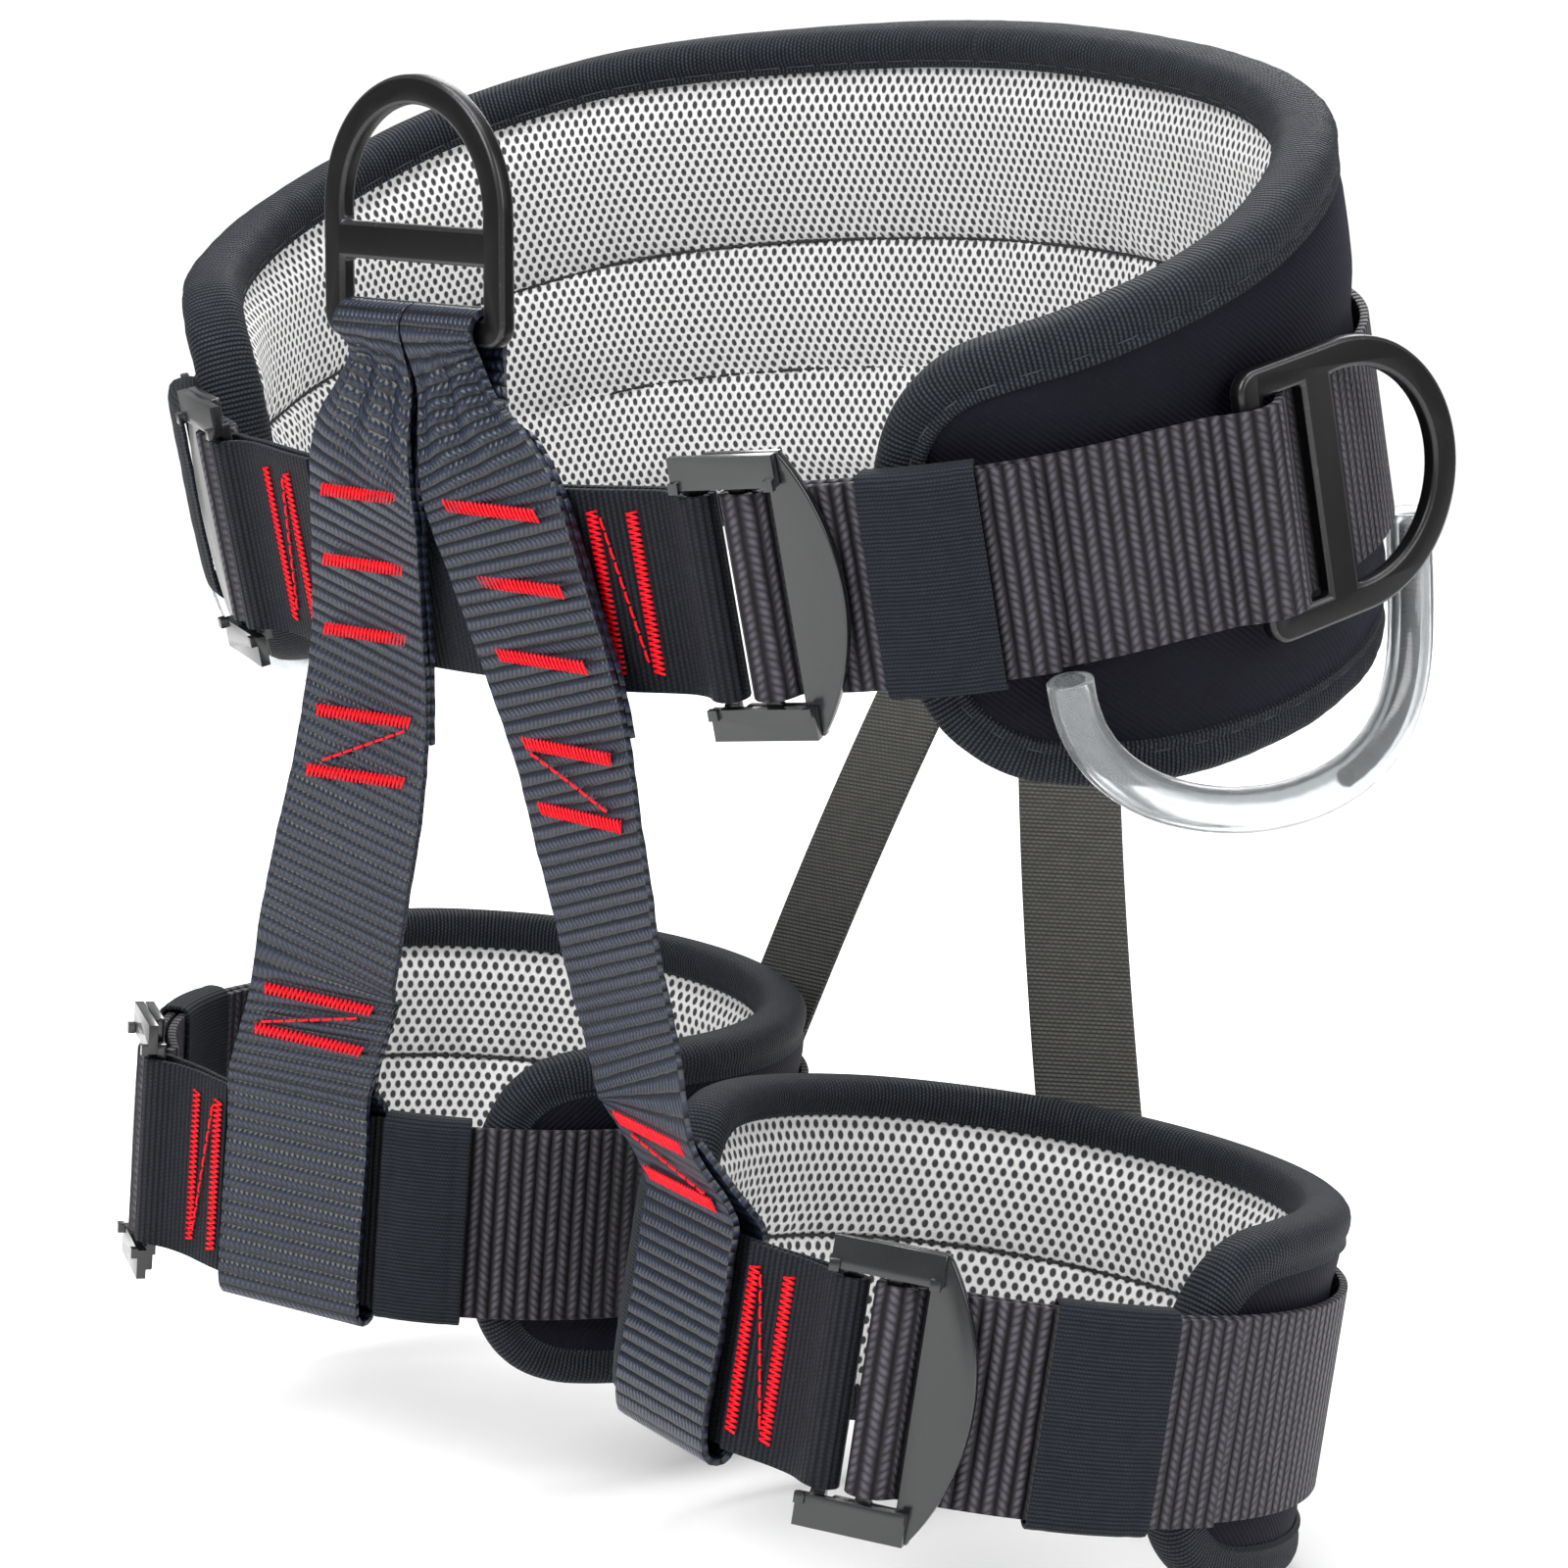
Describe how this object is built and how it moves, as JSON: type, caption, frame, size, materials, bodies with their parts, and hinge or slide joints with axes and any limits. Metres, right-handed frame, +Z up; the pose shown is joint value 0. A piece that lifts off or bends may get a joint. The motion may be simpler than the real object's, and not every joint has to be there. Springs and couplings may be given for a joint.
{
  "type": "tree climbing saddle",
  "caption": "Work-positioning saddle: padded waist belt, two padded leg loops, tie straps, metal rings, pass-through buckles and clear gear loops.",
  "frame": {"origin": "centre of the waist opening at the middle of the waist webbing", "axes": "+Z up, -Y towards the wearer's front, +X towards the wearer's left"},
  "size_m": [0.3348, 0.2161, 0.3345],
  "materials": {
    "neoprene": "matte",
    "foam": "matte",
    "mesh": "open spacer mesh",
    "binding": "ribbed tape",
    "thread": "satin thread",
    "elastic": "woven elastic",
    "riser_elastic": "woven elastic",
    "buckle_steel": "gloss black",
    "ring_alloy": "satin black anodised",
    "clear_tube": "clear",
    "cord": "braided",
    "sewn_webbing": "fine weave",
    "strap_webbing": "ribbed satin weave",
    "adjust_webbing": "ribbed weave"
  },
  "bodies": {
    "waist": {"waist_pad_shell": "neoprene", "waist_pad_foam": "foam", "waist_mesh_lining": "mesh", "waist_binding": "binding", "waist_webbing": "adjust_webbing", "front_belt_webbing": "sewn_webbing", "belt_stitching": "thread", "waist_buckle_frame_l": "buckle_steel", "waist_buckle_frame_r": "buckle_steel", "tie_strap_l": "strap_webbing", "tie_strap_r": "strap_webbing", "strap_stitching_l": "thread", "strap_stitching_r": "thread", "riser_l": "riser_elastic", "riser_r": "riser_elastic"},
    "front_ring": {"front_ring": "ring_alloy"},
    "side_ring_l": {"side_ring_l": "ring_alloy"},
    "gear_loop_l": {"gear_loop_tube_l": "clear_tube", "gear_loop_cord_l": "cord"},
    "waist_keeper_l": {"waist_keeper_l": "elastic"},
    "waist_tongue_l": {"waist_buckle_tongue_l": "buckle_steel"},
    "leg_l": {"leg_pad_shell_l": "neoprene", "leg_pad_foam_l": "foam", "leg_mesh_lining_l": "mesh", "leg_binding_l": "binding", "leg_webbing_l": "adjust_webbing", "leg_front_webbing_l": "sewn_webbing", "leg_sleeve_l": "elastic", "strap_foot_l": "strap_webbing", "leg_stitching_l": "thread", "leg_buckle_frame_l": "buckle_steel"},
    "leg_keeper_l": {"leg_keeper_l": "elastic"},
    "leg_tongue_l": {"leg_buckle_tongue_l": "buckle_steel"},
    "side_ring_r": {"side_ring_r": "ring_alloy"},
    "gear_loop_r": {"gear_loop_tube_r": "clear_tube", "gear_loop_cord_r": "cord"},
    "waist_keeper_r": {"waist_keeper_r": "elastic"},
    "waist_tongue_r": {"waist_buckle_tongue_r": "buckle_steel"},
    "leg_r": {"leg_pad_shell_r": "neoprene", "leg_pad_foam_r": "foam", "leg_mesh_lining_r": "mesh", "leg_binding_r": "binding", "leg_webbing_r": "adjust_webbing", "leg_front_webbing_r": "sewn_webbing", "leg_sleeve_r": "elastic", "strap_foot_r": "strap_webbing", "leg_stitching_r": "thread", "leg_buckle_frame_r": "buckle_steel"},
    "leg_keeper_r": {"leg_keeper_r": "elastic"},
    "leg_tongue_r": {"leg_buckle_tongue_r": "buckle_steel"}
  },
  "joints": [
    {"name": "front_ring_swing", "type": "hinge", "parent": "waist", "child": "front_ring", "pos_m": [0, -0.104, 0.031], "axis": [1, 0, 0], "range_deg": [-15, 95]},
    {"name": "side_ring_l_swing", "type": "hinge", "parent": "waist", "child": "side_ring_l", "pos_m": [0.15837, -0.01074, -0.00248], "axis": [0, 0.225, -0.9744], "range_deg": [0, 75]},
    {"name": "side_ring_r_swing", "type": "hinge", "parent": "waist", "child": "side_ring_r", "pos_m": [-0.15837, -0.01074, -0.00248], "axis": [0, -0.225, 0.9744], "range_deg": [0, 75]},
    {"name": "gear_loop_l_swing", "type": "hinge", "parent": "waist", "child": "gear_loop_l", "pos_m": [0.13819, 0.00739, -0.02344], "axis": [0.0305, -0.9739, -0.2248], "range_deg": [0, 50]},
    {"name": "gear_loop_r_swing", "type": "hinge", "parent": "waist", "child": "gear_loop_r", "pos_m": [-0.13819, 0.00739, -0.02344], "axis": [0.0305, 0.9739, 0.2248], "range_deg": [0, 50]},
    {"name": "waist_keeper_l_slide", "type": "hinge", "parent": "waist", "child": "waist_keeper_l", "pos_m": [0.075, 0, 0], "axis": [0, -0.225, 0.9744], "range_deg": [-2, 4]},
    {"name": "waist_keeper_r_slide", "type": "hinge", "parent": "waist", "child": "waist_keeper_r", "pos_m": [-0.075, 0, 0], "axis": [0, 0.225, -0.9744], "range_deg": [-2, 4]},
    {"name": "waist_tongue_l_release", "type": "hinge", "parent": "waist", "child": "waist_tongue_l", "pos_m": [0.07828, -0.09042, -0.02088], "axis": [0, 0.225, -0.9744], "range_deg": [0, 40]},
    {"name": "waist_tongue_r_release", "type": "hinge", "parent": "waist", "child": "waist_tongue_r", "pos_m": [-0.07828, -0.09042, -0.02088], "axis": [0, -0.225, 0.9744], "range_deg": [0, 40]},
    {"name": "leg_l_tilt", "type": "hinge", "parent": "waist", "child": "leg_l", "pos_m": [0.0575, -0.0906, -0.1352], "axis": [-1, 0, 0], "range_deg": [-4, 22], "stiffness_Nm_per_rad": 1.5, "springref_deg": -10.31, "deforming": ["riser_l"]},
    {"name": "leg_r_tilt", "type": "hinge", "parent": "waist", "child": "leg_r", "pos_m": [-0.05, -0.0916, -0.1218], "axis": [-1, 0, 0], "range_deg": [-4, 22], "stiffness_Nm_per_rad": 1.5, "springref_deg": -10.31, "deforming": ["riser_r"]},
    {"name": "leg_keeper_l_slide", "type": "hinge", "parent": "leg_l", "child": "leg_keeper_l", "pos_m": [0.0845, -0.015, -0.19], "axis": [0.0691, 0.1392, 0.9879], "range_deg": [-3, 8]},
    {"name": "leg_tongue_l_release", "type": "hinge", "parent": "leg_l", "child": "leg_tongue_l", "pos_m": [0.11531, -0.0913, -0.18141], "axis": [-0.0691, -0.1392, -0.9879], "range_deg": [0, 40]},
    {"name": "leg_keeper_r_slide", "type": "hinge", "parent": "leg_r", "child": "leg_keeper_r", "pos_m": [-0.0845, -0.015, -0.176], "axis": [-0.0697, -0.0349, -0.997], "range_deg": [-3, 8]},
    {"name": "leg_tongue_r_release", "type": "hinge", "parent": "leg_r", "child": "leg_tongue_r", "pos_m": [-0.11437, -0.09201, -0.17122], "axis": [0.0697, 0.0349, 0.997], "range_deg": [0, 40]}
  ]
}
